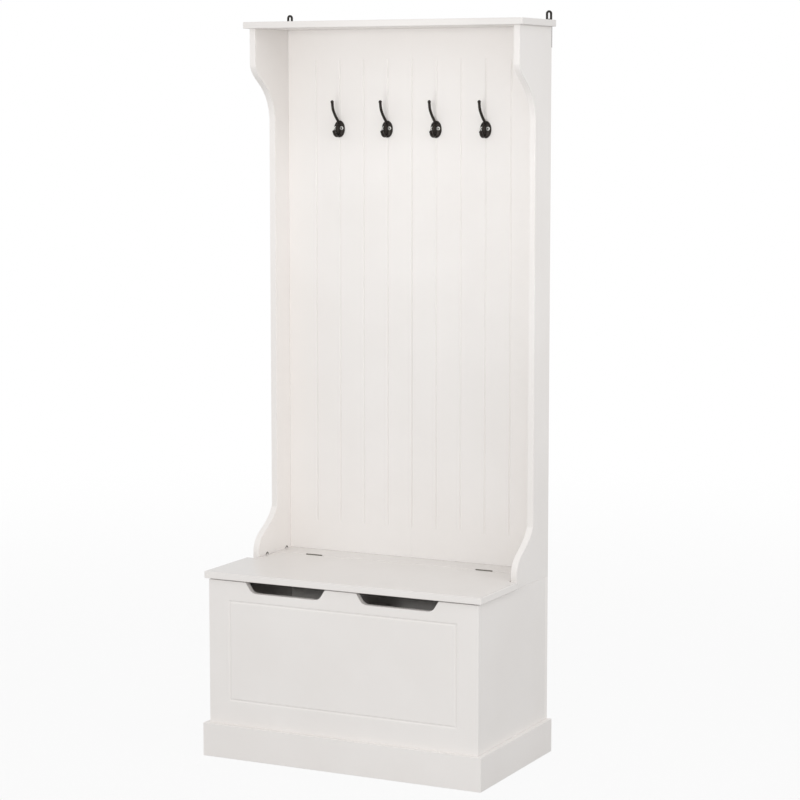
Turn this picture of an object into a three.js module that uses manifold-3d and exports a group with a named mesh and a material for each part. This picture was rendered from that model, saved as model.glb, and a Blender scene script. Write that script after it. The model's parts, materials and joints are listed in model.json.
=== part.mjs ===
// Hall tree with hooks: a bench chest with a lift-up seat lid, and a tall back with four coat hooks above it.
// Millimetres, +Z up, and the front faces -Y. The origin is on the floor, under the middle of the whole box.
import * as THREE from "three";
import { mergeVertices } from "three/addons/utils/BufferGeometryUtils.js";
import Module from "manifold-3d";

const wasm = await Module();
wasm.setup();

// ---- Driving dimensions -------------------------------------------------------------------------
const treeHeight = 1700; // floor to the upper face of the top board
const chestWidth = 688;
const chestDepth = 386; // front panel's face to the rear plane
const panelThickness = 15; // chest panels, hutch sides and top board
const seatHeight = 436; // floor to the upper face of the seat
const lidThickness = 16;
const lidGap = 3; // air between the lid and the chest
const lidSideOverhang = 9;
const lidFrontOverhang = 7;
const lidSideClearance = 2; // lid to the inner faces of the hutch sides
const lidTabGap = 14; // hutch's feet to the rear end of the lid's wide front part
const lidCornerRadius = 3;
const plinthHeight = 78;
const plinthThickness = 12;
const floorPanelHeight = 60; // floor to the underside of the chest's floor panel
const floorPanelThickness = 12;
const housingDepth = 5; // the groove that the floor panel's edges slide into
const slipFit = 0.3; // clearance of a piece that slides into a cut

const hutchFootDepth = 180; // side panel's depth on the seat, and at its ear under the top board
const hutchEarDepth = 180;
const hutchWaistDepth = 89; // side panel's depth between foot and ear
const earDrop = 85; // straight front edge under the top board
const earCurveDrop = 122; // height of the curve from the ear to the waist
const footRise = 28; // straight front edge above the chest
const footCurveRise = 103; // height of the curve from the foot to the waist
// The middle control points of those curves, as shares of the depth that a curve covers, measured from the
// waist's line, and of its height.
const footControls = [[1, 0.53], [0.32, 0.46]];
const earControls = [[0.12, 0.66], [0.87, 0.66]];
const topFrontOverhang = 12; // top board beyond the ears
const topSideOverhang = 11;
const backBoardThickness = 10;
const backInset = 12; // rear plane to the back of the back boards
const grooveSpacing = 63.5; // one plank of the panelled back
const grooveWidth = 5;
const grooveDepth = 2.2;
const grooveMargin = 70; // plain band above and below the grooves
const leastPlank = 40; // narrowest plank between the last groove and a hutch side
const battenWidth = 60;
const topRailHeight = 70;

const routedWidth = 8; // groove that frames the chest's front panel
const routedDepth = 2;
const routedSide = 55; // panel edge to the middle of that groove
const routedTop = 48;
const routedBottom = 137; // floor to the middle of the lower run
const handleCentre = 143; // middle of the chest to the middle of a handle opening
const handleHalfWidth = 103;
const handleDepth = 24.5;
const handleSlopeRun = 10.5; // end of an opening to the end of its straight slope
const handleSlopeDrop = 16; // height of that slope
const handleCornerRun = 29; // end of an opening to the flat bottom

const hingeCentre = 224; // middle of the chest to the middle of a hinge
const hingeDepth = 96; // rear plane to the hinge line
const hingeGap = 2.6; // lid to seat rail
const hingeLength = 42;
const leafHeight = 14;
const leafThickness = 1.2;
const knuckleRadius = 1.9;
const knuckleGap = 0.3;
const knuckleRoom = 0.5; // knuckle to the bottom of the mortise behind it
const pinRadius = 0.8;
const pinClearance = 0.12;
const leafScrewSpacing = 26;

const hookPitch = 2 * grooveSpacing; // the hooks stand on every second groove
const hookCount = 4;
const hookDrop = 233; // top board's underside to the middle of a hook's base
const hookBaseHalfWidth = 14;
const hookBaseHalfHeight = 20;
const hookBaseRim = 2; // straight edge of the base
const hookBaseDome = 5.5; // rise of the dome from that edge
const hookSeat = 4.4; // back board's face to the seat under a screw's head
const hookScrewOffset = 7.5;
const hookScrewRise = 2;
const prongRadius = 3;
const upperBulb = 4;
const lowerBulb = 3.7;
// Middle lines of the two prongs, as [forward of the back board, above the middle of the base].
const upperProng = [[3, 8], [8, 18], [17, 26], [27, 36.5], [34.5, 48], [37.8, 62]];
const lowerProng = [[3, -6], [9, -14.5], [18, -16], [25.5, -12.5], [29.5, -6]];

const bracketWidth = 15;
const bracketThickness = 2;
const bracketRise = 22; // top board to the top of the loop
const bracketDrop = 62; // top board to the lower end of the strap
const bracketSlotWidth = 5;
const bracketSlotRise = 3; // top board to the lower end of the slot
const bracketScrewDrops = [30, 50];

const camRadius = 6;
const camSkirt = 3; // the cam's depth past the middle of its bolt
const camRise = 19; // joint between the side panels to the cam's middle
const camDepths = [43, 139]; // rear plane to each cam
const camSlot = { length: 8, width: 1.2, depth: 1.5 }; // for a screwdriver, across the cam's face
const camBoltRadius = 2.6;
const camBoltGrip = 22; // length of a cam bolt in the chest's side
const camBoltOver = 1; // top of a cam bolt above the cam's middle
const camBoltHead = 2;
const camBoltNeck = { length: 4, radius: 1.5 }; // the groove that the cam pulls on
const bumperRadius = 5;
const bumperInset = 26; // front panel's face to a bumper's middle

// ---- Places worked out from them ----------------------------------------------------------------
const plinthDepth = chestDepth + plinthThickness;
const wholeDepth = plinthDepth + bracketThickness;
const rearY = wholeDepth / 2 - bracketThickness;
const atDepth = (depth) => rearY - depth; // y of a face this far in front of the rear plane
const frontY = atDepth(chestDepth);
const outerX = chestWidth / 2;
const innerX = outerX - panelThickness;
const chestTop = seatHeight - lidThickness - lidGap;
const topUnderside = treeHeight - panelThickness;
const backFront = backInset + backBoardThickness; // rear plane to the face of the back boards
const hookHeight = topUnderside - hookDrop;
const lidTabDepth = hutchFootDepth + lidTabGap; // rear plane to the rear end of the lid's wide front part
const topBoardDepth = hutchEarDepth + topFrontOverhang;
const hingeY = atDepth(hingeDepth);
const lidRearDepth = hingeDepth + hingeGap / 2;
const railFrontDepth = hingeDepth - hingeGap / 2;
const leafFace = knuckleRadius + knuckleRoom; // hinge line to the bottom of a leaf's mortise
const camX = (sign) => sign * (outerX - panelThickness / 2);
const camZ = chestTop + camRise;
const camDepth = panelThickness / 2 + camSkirt;

// ---- Screws: head and shank radii, head height, length in the wood ------------------------------
const leafScrew = { head: 2.5, shank: 1.3, headHeight: leafThickness, grip: 12 };
const bracketScrew = { head: 3.2, shank: 1.8, headHeight: 1.6, grip: 18 };
const hookScrew = { head: 4, shank: 1.7, headHeight: 2.4, grip: backBoardThickness - 2 };
const screwPoint = 0.2; // share of a screw's grip that tapers to its point
const screwSides = 12;
const roundSides = 16; // bars that turn, and their bores
const holeClearance = 0.15;
const boltClearance = 0.3;
const past = 1; // how far a cutting tool stands out of the face that it cuts

// ---- Materials ----------------------------------------------------------------------------------
const finish = (color, roughness, metalness) => ({ color, roughness, metalness });
const whitePaint = finish(0xe9e6e2, 0.42, 0);
const blackIron = finish(0x26221f, 0.38, 0.75);
const blackSteel = finish(0x2e2b28, 0.45, 0.8);
const brightSteel = finish(0xb9b7b2, 0.3, 1);
const zinc = finish(0x6d6a66, 0.45, 0.9);
const clearRubber = finish(0xcfcdc8, 0.6, 0);

const tree = new THREE.Group();

function addPiece(name, geometry, look) {
  const mesh = new THREE.Mesh(geometry, new THREE.MeshStandardMaterial(look));
  mesh.name = name;
  tree.add(mesh);
  return mesh;
}

// ---- Solids -------------------------------------------------------------------------------------
function solidOf(geometry) {
  const bare = geometry.index ? geometry.toNonIndexed() : geometry.clone();
  bare.deleteAttribute("normal");
  bare.deleteAttribute("uv");
  const merged = mergeVertices(bare, 1e-4);
  return new wasm.Manifold(
    new wasm.Mesh({
      numProp: 3,
      vertProperties: merged.attributes.position.array,
      triVerts: new Uint32Array(merged.index.array),
    }),
  );
}

function geometryOf(solid) {
  const mesh = solid.getMesh();
  const geometry = new THREE.BufferGeometry();
  const positions = new Float32Array(mesh.numVert * 3);
  for (let v = 0; v < mesh.numVert; v += 1) {
    for (let k = 0; k < 3; k += 1) {
      positions[v * 3 + k] = mesh.vertProperties[v * mesh.numProp + k];
    }
  }
  geometry.setAttribute("position", new THREE.BufferAttribute(positions, 3));
  geometry.setIndex(new THREE.BufferAttribute(new Uint32Array(mesh.triVerts), 1));
  geometry.computeVertexNormals();
  return geometry;
}

const cut = (geometry, ...tools) =>
  geometryOf(tools.reduce((body, tool) => body.subtract(solidOf(tool)), solidOf(geometry)));

const join = (...geometries) =>
  geometryOf(geometries.slice(1).reduce((body, more) => body.add(solidOf(more)), solidOf(geometries[0])));

// A box between two corners.
function box(x0, x1, y0, y1, z0, z1) {
  const geometry = new THREE.BoxGeometry(x1 - x0, y1 - y0, z1 - z0);
  return geometry.translate((x0 + x1) / 2, (y0 + y1) / 2, (z0 + z1) / 2);
}

// A round bar between two points, its profile a list of [distance along, radius].
function turned(profile, from, direction, sides = screwSides) {
  const points = profile.map(([along, radius]) => new THREE.Vector2(radius, along));
  const geometry = new THREE.LatheGeometry(points, sides);
  const turn = new THREE.Quaternion().setFromUnitVectors(new THREE.Vector3(0, 1, 0), direction);
  return geometry.applyQuaternion(turn).translate(from.x, from.y, from.z);
}

const rod = (from, direction, length, radius, sides = screwSides) =>
  turned([[0, 0], [0, radius], [length, radius], [length, 0]], from, direction, sides);

const alongX = new THREE.Vector3(1, 0, 0);
const alongY = new THREE.Vector3(0, 1, 0);
const alongZ = new THREE.Vector3(0, 0, 1);
const point = (x, y, z) => new THREE.Vector3(x, y, z);

// An outline drawn on the (x, z) plane and made thick from y0 towards the rear.
function plateFacingFront(shape, y0, thickness, curveSegments = 6) {
  const settings = { depth: thickness, bevelEnabled: false, curveSegments };
  const geometry = new THREE.ExtrudeGeometry(shape, settings);
  return geometry.rotateX(Math.PI / 2).translate(0, y0 + thickness, 0);
}

// An outline drawn as (depth in front of the rear plane, z) and made thick along x from x0.
function plateFacingSide(shape, x0, thickness, curveSegments = 8) {
  const settings = { depth: thickness, bevelEnabled: false, curveSegments };
  const geometry = new THREE.ExtrudeGeometry(shape, settings);
  const toPart = new THREE.Matrix4().set(0, 0, -1, x0 + thickness, -1, 0, 0, rearY, 0, 1, 0, 0, 0, 0, 0, 1);
  return geometry.applyMatrix4(toPart);
}

// An outline drawn on the (x, y) plane and made thick upwards from z0.
const plateFacingUp = (shape, z0, thickness) =>
  new THREE.ExtrudeGeometry(shape, { depth: thickness, bevelEnabled: false }).translate(0, 0, z0);

// ---- Screws -------------------------------------------------------------------------------------
// A countersunk screw whose flat head ends flush at `from` and points along `direction`.
function countersunkScrew(size, from, direction) {
  const { head, shank, headHeight, grip } = size;
  const profile = [
    [0, 0],
    [0, head],
    [headHeight, shank],
    [headHeight + grip * (1 - screwPoint), shank],
    [headHeight + grip, 0],
  ];
  return turned(profile, from, direction);
}

// The hole that such a screw sits in.
function countersunkHole(size, from, direction) {
  const { head, shank, headHeight, grip } = size;
  const profile = [
    [-past, 0],
    [-past, head + holeClearance],
    [0, head + holeClearance],
    [headHeight, shank + holeClearance],
    [headHeight + grip + slipFit, shank + holeClearance],
    [headHeight + grip + slipFit, 0],
  ];
  return turned(profile, from, direction);
}

// ---- Plinth: three boards wrapped round the foot of the chest -----------------------------------
function buildPlinth() {
  const plinthX = outerX + plinthThickness;
  const front = box(-plinthX, plinthX, frontY - plinthThickness, frontY, 0, plinthHeight);
  addPiece("plinth_front", front, whitePaint);
  for (const [side, sign] of [["left", -1], ["right", 1]]) {
    const xs = [sign * outerX, sign * plinthX].sort((a, b) => a - b);
    addPiece(`plinth_${side}`, box(xs[0], xs[1], frontY, rearY, 0, plinthHeight), whitePaint);
  }
}

// ---- Chest --------------------------------------------------------------------------------------
// The groove in the chest's walls that holds the floor panel.
const floorHousing = () =>
  box(
    -innerX - housingDepth,
    innerX + housingDepth,
    frontY + panelThickness - housingDepth,
    atDepth(panelThickness) + housingDepth,
    floorPanelHeight,
    floorPanelHeight + floorPanelThickness + slipFit,
  );

// A handle opening seen from the front: a straight slope at each end, and a curve from it to the flat bottom.
function handleOutline(centre) {
  const slopeEnd = handleHalfWidth - handleSlopeRun;
  const flatEnd = handleHalfWidth - handleCornerRun;
  const slopeEndZ = chestTop - handleSlopeDrop;
  const bottomZ = chestTop - handleDepth;
  const control = slopeEnd - (handleSlopeRun * (handleDepth - handleSlopeDrop)) / handleSlopeDrop;
  const over = chestTop + 10 * past;
  const shape = new THREE.Shape();
  shape.moveTo(centre - handleHalfWidth, over);
  shape.lineTo(centre - handleHalfWidth, chestTop);
  shape.lineTo(centre - slopeEnd, slopeEndZ);
  shape.quadraticCurveTo(centre - control, bottomZ, centre - flatEnd, bottomZ);
  shape.lineTo(centre + flatEnd, bottomZ);
  shape.quadraticCurveTo(centre + control, bottomZ, centre + slopeEnd, slopeEndZ);
  shape.lineTo(centre + handleHalfWidth, chestTop);
  shape.lineTo(centre + handleHalfWidth, over);
  return shape;
}

// The four runs of the groove that frames the front panel.
function routedFrame() {
  const half = routedWidth / 2;
  const x = outerX - routedSide;
  const top = chestTop - routedTop;
  const y0 = frontY - past;
  const y1 = frontY + routedDepth;
  return join(
    box(-x - half, -x + half, y0, y1, routedBottom - half, top + half),
    box(x - half, x + half, y0, y1, routedBottom - half, top + half),
    box(-x, x, y0, y1, top - half, top + half),
    box(-x, x, y0, y1, routedBottom - half, routedBottom + half),
  );
}

function buildChest() {
  const front = box(-outerX, outerX, frontY, frontY + panelThickness, 0, chestTop);
  const handles = [-1, 1].map((sign) =>
    plateFacingFront(handleOutline(sign * handleCentre), frontY - past, panelThickness + 2 * past),
  );
  addPiece("chest_front", cut(front, ...handles, routedFrame(), floorHousing()), whitePaint);

  const back = box(-outerX, outerX, atDepth(panelThickness), rearY, 0, chestTop);
  addPiece("chest_back", cut(back, floorHousing()), whitePaint);

  for (const [side, sign] of [["left", -1], ["right", 1]]) {
    const xs = [sign * innerX, sign * outerX].sort((a, b) => a - b);
    const wall = box(xs[0], xs[1], frontY + panelThickness, atDepth(panelThickness), 0, chestTop);
    const boltHoles = camDepths.map((depth) => camBoltBore(sign, depth, chestTop - camBoltGrip - slipFit));
    addPiece(`chest_${side}`, cut(wall, floorHousing(), ...boltHoles), whitePaint);
  }

  const edge = housingDepth - slipFit;
  const floorPanel = box(
    -innerX - edge,
    innerX + edge,
    frontY + panelThickness - edge,
    atDepth(panelThickness) + edge,
    floorPanelHeight,
    floorPanelHeight + floorPanelThickness,
  );
  addPiece("chest_floor_panel", floorPanel, whitePaint);
}

// ---- Cam fittings that tie the hutch sides to the chest's sides ---------------------------------
// The pocket in a hutch side's inner face that a cam turns in.
function camBore(sign, depth) {
  const from = point(sign * (innerX - past), atDepth(depth), camZ);
  const outward = alongX.clone().multiplyScalar(sign);
  return rod(from, outward, past + camDepth + slipFit, camRadius + holeClearance, roundSides);
}

// The upright hole for a cam's bolt, from z0 to just above the bolt's top.
function camBoltBore(sign, depth, z0) {
  const height = camZ + camBoltOver + boltClearance - z0;
  return rod(point(camX(sign), atDepth(depth), z0), alongZ, height, camBoltRadius + boltClearance);
}

function camLock(sign, depth) {
  const y = atDepth(depth);
  const outward = alongX.clone().multiplyScalar(sign);
  const drum = rod(point(sign * innerX, y, camZ), outward, camDepth, camRadius, roundSides);
  const mouthZ = camZ - camRadius - past;
  const mouthHeight = camRadius + camBoltOver + 2 * past;
  const mouth = rod(point(camX(sign), y, mouthZ), alongZ, mouthHeight, camBoltRadius + boltClearance);
  const slotZ = camZ + camBoltOver;
  const slot = box(
    Math.min(sign * (innerX - past), sign * (innerX + camSlot.depth)),
    Math.max(sign * (innerX - past), sign * (innerX + camSlot.depth)),
    y - camSlot.length / 2,
    y + camSlot.length / 2,
    slotZ - camSlot.width / 2,
    slotZ + camSlot.width / 2,
  );
  return cut(drum, mouth, slot);
}

function camBolt(sign, depth) {
  const top = camBoltGrip + camRise + camBoltOver;
  const neckTop = top - camBoltHead;
  const neckBottom = neckTop - camBoltNeck.length;
  const profile = [
    [0, 0],
    [camBoltRadius / 2, camBoltRadius],
    [neckBottom, camBoltRadius],
    [neckBottom, camBoltNeck.radius],
    [neckTop, camBoltNeck.radius],
    [neckTop, camBoltRadius],
    [top, camBoltRadius],
    [top, 0],
  ];
  return turned(profile, point(camX(sign), atDepth(depth), chestTop - camBoltGrip), alongZ);
}

function buildCams() {
  for (const [side, sign] of [["left", -1], ["right", 1]]) {
    for (const [place, depth] of [["rear", camDepths[0]], ["front", camDepths[1]]]) {
      addPiece(`cam_lock_${side}_${place}`, camLock(sign, depth), zinc);
      addPiece(`cam_bolt_${side}_${place}`, camBolt(sign, depth), brightSteel);
    }
  }
}

// ---- Seat: the fixed rail at the rear, and the lid ----------------------------------------------
// The shallow recess that a hinge leaf lies in, on the lid (sign -1) or on the rail (sign 1).
function leafMortise(hingeX, sign) {
  const half = hingeLength / 2 + slipFit;
  const ys = [hingeY, hingeY + sign * leafFace].sort((a, b) => a - b);
  const z0 = seatHeight - leafHeight - slipFit;
  return box(hingeX - half, hingeX + half, ys[0], ys[1], z0, seatHeight + past);
}

const leafScrewPlaces = (hingeX, sign) =>
  [-1, 1].map((end) =>
    point(
      hingeX + (end * leafScrewSpacing) / 2,
      hingeY + sign * (leafFace - leafThickness),
      seatHeight - (leafHeight + knuckleRadius) / 2,
    ),
  );

function leafCuts(sign) {
  const towardsWood = alongY.clone().multiplyScalar(sign);
  return [-hingeCentre, hingeCentre].flatMap((hingeX) => [
    leafMortise(hingeX, sign),
    ...leafScrewPlaces(hingeX, sign).map((from) => countersunkHole(leafScrew, from, towardsWood)),
  ]);
}

function lidOutline() {
  const wideX = outerX + lidSideOverhang;
  const narrowX = innerX - lidSideClearance;
  const front = frontY - lidFrontOverhang;
  const tabY = atDepth(lidTabDepth);
  const rear = atDepth(lidRearDepth);
  const corner = lidCornerRadius;
  const shape = new THREE.Shape();
  shape.moveTo(-wideX + corner, front);
  shape.lineTo(wideX - corner, front);
  shape.absarc(wideX - corner, front + corner, corner, -Math.PI / 2, 0, false);
  shape.lineTo(wideX, tabY);
  shape.lineTo(narrowX, tabY);
  shape.lineTo(narrowX, rear);
  shape.lineTo(-narrowX, rear);
  shape.lineTo(-narrowX, tabY);
  shape.lineTo(-wideX, tabY);
  shape.lineTo(-wideX, front + corner);
  shape.absarc(-wideX + corner, front + corner, corner, Math.PI, 1.5 * Math.PI, false);
  return shape;
}

function buildSeat() {
  const rail = box(-innerX, innerX, atDepth(railFrontDepth), rearY, chestTop, seatHeight);
  addPiece("seat_rail", cut(rail, ...leafCuts(1)), whitePaint);
  const lid = plateFacingUp(lidOutline(), seatHeight - lidThickness, lidThickness);
  addPiece("seat_lid", cut(lid, ...leafCuts(-1)), whitePaint);
  for (const [side, sign] of [["left", -1], ["right", 1]]) {
    const from = point(camX(sign), frontY + bumperInset, chestTop + slipFit);
    const bumper = rod(from, alongZ, lidGap - slipFit, bumperRadius, roundSides);
    addPiece(`lid_bumper_${side}`, bumper, clearRubber);
  }
}

// ---- Hinges: two butt hinges let into the edges of the lid and the rail -------------------------
// Knuckles share the length in three: the outer two belong to the rail's leaf, the middle one to the lid's.
function knuckleSpans(fixed) {
  const third = hingeLength / 3;
  const half = hingeLength / 2;
  const outer = [
    [-half, -third / 2 - knuckleGap / 2],
    [third / 2 + knuckleGap / 2, half],
  ];
  const middle = [[-third / 2 + knuckleGap / 2, third / 2 - knuckleGap / 2]];
  return fixed ? outer : middle;
}

function hingeLeaf(hingeX, fixed) {
  const sign = fixed ? 1 : -1;
  const half = hingeLength / 2;
  const ys = [sign * (leafFace - leafThickness), sign * leafFace].sort((a, b) => a - b);
  const barrel = ([x0, x1], radius, over = 0) =>
    rod(point(hingeX + x0 - over, hingeY, seatHeight), alongX, x1 - x0 + 2 * over, radius, roundSides);
  const plate = box(
    hingeX - half,
    hingeX + half,
    hingeY + ys[0],
    hingeY + ys[1],
    seatHeight - leafHeight,
    seatHeight,
  );
  const reliefs = knuckleSpans(!fixed).map((span) => barrel(span, knuckleRadius + slipFit, knuckleGap));
  const plateCut = cut(plate, ...reliefs);
  const knuckles = knuckleSpans(fixed).map((span) => barrel(span, knuckleRadius));
  const leaf = join(plateCut, ...knuckles);
  const bore = barrel([-half, half], pinRadius + pinClearance, past);
  const towardsWood = alongY.clone().multiplyScalar(sign);
  const holes = leafScrewPlaces(hingeX, sign).map((from) => countersunkHole(leafScrew, from, towardsWood));
  return cut(leaf, bore, ...holes);
}

function buildHinges() {
  for (const [side, hingeX] of [["left", -hingeCentre], ["right", hingeCentre]]) {
    addPiece(`hinge_fixed_leaf_${side}`, hingeLeaf(hingeX, true), brightSteel);
    addPiece(`hinge_lid_leaf_${side}`, hingeLeaf(hingeX, false), brightSteel);
    const pinEnd = point(hingeX - hingeLength / 2, hingeY, seatHeight);
    const pin = rod(pinEnd, alongX, hingeLength, pinRadius, roundSides);
    addPiece(`hinge_pin_${side}`, pin, zinc);
    for (const [leaf, sign] of [["fixed", 1], ["lid", -1]]) {
      const towardsWood = alongY.clone().multiplyScalar(sign);
      leafScrewPlaces(hingeX, sign).forEach((from, index) => {
        const screw = countersunkScrew(leafScrew, from, towardsWood);
        addPiece(`hinge_screw_${leaf}_${side}_${index + 1}`, screw, zinc);
      });
    }
  }
}

// ---- Hutch: side panels, back boards, battens and top board -------------------------------------
// A side panel as (depth in front of the rear plane, z): a foot, a waist and an ear, joined by ogee curves.
function hutchSideOutline() {
  const footTop = chestTop + footRise;
  const earBottom = topUnderside - earDrop;
  const waistEnd = earBottom - earCurveDrop;
  const shape = new THREE.Shape();
  // A curve between the waist and `depth`, its controls at shares of that step and of the height from z0.
  const ogeeTo = (controls, depth, z0, height, endDepth, endZ) => {
    const places = controls.flatMap(([forward, up]) => [
      hutchWaistDepth + forward * (depth - hutchWaistDepth),
      z0 + up * height,
    ]);
    shape.bezierCurveTo(...places, endDepth, endZ);
  };
  shape.moveTo(0, chestTop);
  shape.lineTo(hutchFootDepth, chestTop);
  shape.lineTo(hutchFootDepth, footTop);
  ogeeTo(footControls, hutchFootDepth, footTop, footCurveRise, hutchWaistDepth, footTop + footCurveRise);
  shape.lineTo(hutchWaistDepth, waistEnd);
  ogeeTo(earControls, hutchEarDepth, waistEnd, earCurveDrop, hutchEarDepth, earBottom);
  shape.lineTo(hutchEarDepth, topUnderside);
  shape.lineTo(0, topUnderside);
  return shape;
}

// V grooves in the face of the back, at whole steps from the middle that lie on the board.
function backGrooves() {
  const z0 = seatHeight + grooveMargin;
  const z1 = topUnderside - grooveMargin;
  const face = atDepth(backFront);
  const count = Math.floor((innerX - leastPlank) / grooveSpacing);
  const grooves = [];
  for (let step = -count; step <= count; step += 1) {
    const x = step * grooveSpacing;
    const vee = new THREE.Shape();
    vee.moveTo(x - grooveWidth / 2, face);
    vee.lineTo(x - grooveWidth / 2, face - past);
    vee.lineTo(x + grooveWidth / 2, face - past);
    vee.lineTo(x + grooveWidth / 2, face);
    vee.lineTo(x, face + grooveDepth);
    grooves.push(plateFacingUp(vee, z0, z1 - z0));
  }
  return grooves;
}

const hookXs = Array.from({ length: hookCount }, (_, i) => (i - (hookCount - 1) / 2) * hookPitch);

function buildHutch() {
  for (const [side, sign] of [["left", -1], ["right", 1]]) {
    const x0 = sign < 0 ? -outerX : innerX;
    const panel = plateFacingSide(hutchSideOutline(), x0, panelThickness);
    const cams = camDepths.flatMap((depth) => [
      camBore(sign, depth),
      camBoltBore(sign, depth, chestTop - past),
    ]);
    const screws = bracketScrewPlaces(sign).map((from) => countersunkHole(bracketScrew, from, inwards));
    addPiece(`hutch_side_${side}`, cut(panel, ...cams, ...screws), whitePaint);
  }

  const topX = outerX + topSideOverhang;
  const topBoard = box(-topX, topX, atDepth(topBoardDepth), rearY, topUnderside, treeHeight);
  addPiece("top_board", topBoard, whitePaint);

  const grooves = backGrooves();
  const holeRadius = hookScrew.shank + holeClearance;
  const screwHoles = hookXs.flatMap((x) =>
    hookScrewPlaces(x).map((from) => rod(from, alongY, hookScrewReach + slipFit, holeRadius)),
  );
  for (const [side, x0, x1] of [["left", -innerX, 0], ["right", 0, innerX]]) {
    const board = box(x0, x1, atDepth(backFront), atDepth(backInset), seatHeight, topUnderside);
    addPiece(`back_board_${side}`, cut(board, ...grooves, ...screwHoles), whitePaint);
  }
  const railBottom = topUnderside - topRailHeight;
  const rail = box(-innerX, innerX, atDepth(backInset), rearY, railBottom, topUnderside);
  addPiece("top_rail", rail, whitePaint);
  const battenX = battenWidth / 2;
  const batten = box(-battenX, battenX, atDepth(backInset), rearY, seatHeight, railBottom);
  addPiece("seam_batten", batten, whitePaint);
}

// ---- Hooks: an oval domed base, a long upper prong and a short curled lower prong ---------------
const hookScrewReach = hookScrew.grip + hookSeat;

const hookScrewPlaces = (x) => {
  const y = atDepth(backFront) - hookSeat;
  return [-1, 1].map((side) => point(x + side * hookScrewOffset, y, hookHeight + hookScrewRise));
};

// A round bar along a curve in the hook's middle plane, with points as [forward, up] from the base's middle.
function prong(x, points, radius) {
  const face = atDepth(backFront);
  const path = new THREE.CatmullRomCurve3(
    points.map(([forward, up]) => new THREE.Vector3(x, face - forward, hookHeight + up)),
  );
  const section = new THREE.Shape();
  const sides = 8;
  for (let i = 0; i < sides; i += 1) {
    const angle = ((i + 0.5) / sides) * 2 * Math.PI;
    section[i === 0 ? "moveTo" : "lineTo"](radius * Math.cos(angle), radius * Math.sin(angle));
  }
  const steps = 9;
  return new THREE.ExtrudeGeometry(section, { steps, bevelEnabled: false, extrudePath: path });
}

function bulb(x, [forward, up], radius) {
  return new THREE.SphereGeometry(radius, 8, 6).translate(x, atDepth(backFront) - forward, hookHeight + up);
}

// The base: a straight rim and a quarter ellipse above it, turned round and stretched to an upright oval.
function hookBase(x) {
  const profile = [[0, 0], [0, hookBaseHalfWidth]];
  const steps = 4;
  for (let i = 0; i < steps; i += 1) {
    const angle = (i / steps) * (Math.PI / 2);
    profile.push([hookBaseRim + hookBaseDome * Math.sin(angle), hookBaseHalfWidth * Math.cos(angle)]);
  }
  profile.push([hookBaseRim + hookBaseDome, 0]);
  const dome = turned(profile, point(0, 0, 0), alongY.clone().negate(), roundSides);
  dome.scale(1, 1, hookBaseHalfHeight / hookBaseHalfWidth);
  return dome.translate(x, atDepth(backFront), hookHeight);
}

// A pan-head screw: the head's rounded top ends `headHeight` in front of its seat.
function panScrew(from) {
  const { head, shank, headHeight } = hookScrew;
  const profile = [
    [-headHeight, 0],
    [-headHeight, head / 2],
    [-headHeight / 3, head],
    [0, head],
    [0, shank],
    [hookScrewReach * (1 - screwPoint), shank],
    [hookScrewReach, 0],
  ];
  return turned(profile, from, alongY);
}

function buildHooks() {
  const towardsFront = alongY.clone().negate();
  hookXs.forEach((x, index) => {
    const body = join(
      hookBase(x),
      prong(x, upperProng, prongRadius),
      bulb(x, upperProng.at(-1), upperBulb),
      prong(x, lowerProng, prongRadius),
      bulb(x, lowerProng.at(-1), lowerBulb),
    );
    const holeRadius = hookScrew.shank + holeClearance;
    const seats = hookScrewPlaces(x).flatMap((from) => [
      rod(from, towardsFront, hookBaseRim + hookBaseDome, hookScrew.head + slipFit),
      rod(point(from.x, from.y - past, from.z), alongY, hookSeat + 2 * past, holeRadius),
    ]);
    addPiece(`coat_hook_${index + 1}`, cut(body, ...seats), blackIron);
    hookScrewPlaces(x).forEach((from, end) => {
      addPiece(`hook_screw_${index + 1}_${end + 1}`, panScrew(from), brightSteel);
    });
  });
}

// ---- Wall brackets: slotted straps on the rear edges of the hutch sides -------------------------
const inwards = alongY.clone().negate();
const bracketScrewPlaces = (sign) =>
  bracketScrewDrops.map((drop) => point(camX(sign), rearY + bracketThickness, treeHeight - drop));

function buildBrackets() {
  for (const [side, sign] of [["left", -1], ["right", 1]]) {
    const half = bracketWidth / 2;
    const x = camX(sign);
    const loopZ = treeHeight + bracketRise - half;
    const strap = new THREE.Shape();
    strap.moveTo(x - half, treeHeight - bracketDrop);
    strap.lineTo(x + half, treeHeight - bracketDrop);
    strap.lineTo(x + half, loopZ);
    strap.absarc(x, loopZ, half, 0, Math.PI, false);
    const slotHalf = bracketSlotWidth / 2;
    const slotBottom = treeHeight + bracketSlotRise;
    const slotDeep = bracketThickness + 2 * past;
    const slot = box(x - slotHalf, x + slotHalf, rearY - past, rearY - past + slotDeep, slotBottom, loopZ);
    const slotEnd = rod(point(x, rearY - past, loopZ), alongY, slotDeep, slotHalf);
    const body = plateFacingFront(strap, rearY, bracketThickness);
    const holes = bracketScrewPlaces(sign).map((from) => countersunkHole(bracketScrew, from, inwards));
    addPiece(`wall_bracket_${side}`, cut(body, slot, slotEnd, ...holes), blackSteel);
    bracketScrewPlaces(sign).forEach((from, index) => {
      const screw = countersunkScrew(bracketScrew, from, inwards);
      addPiece(`bracket_screw_${side}_${index + 1}`, screw, brightSteel);
    });
  }
}

buildPlinth();
buildChest();
buildSeat();
buildHinges();
buildHutch();
buildCams();
buildHooks();
buildBrackets();

export default tree;
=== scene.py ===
import json
import math

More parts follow.
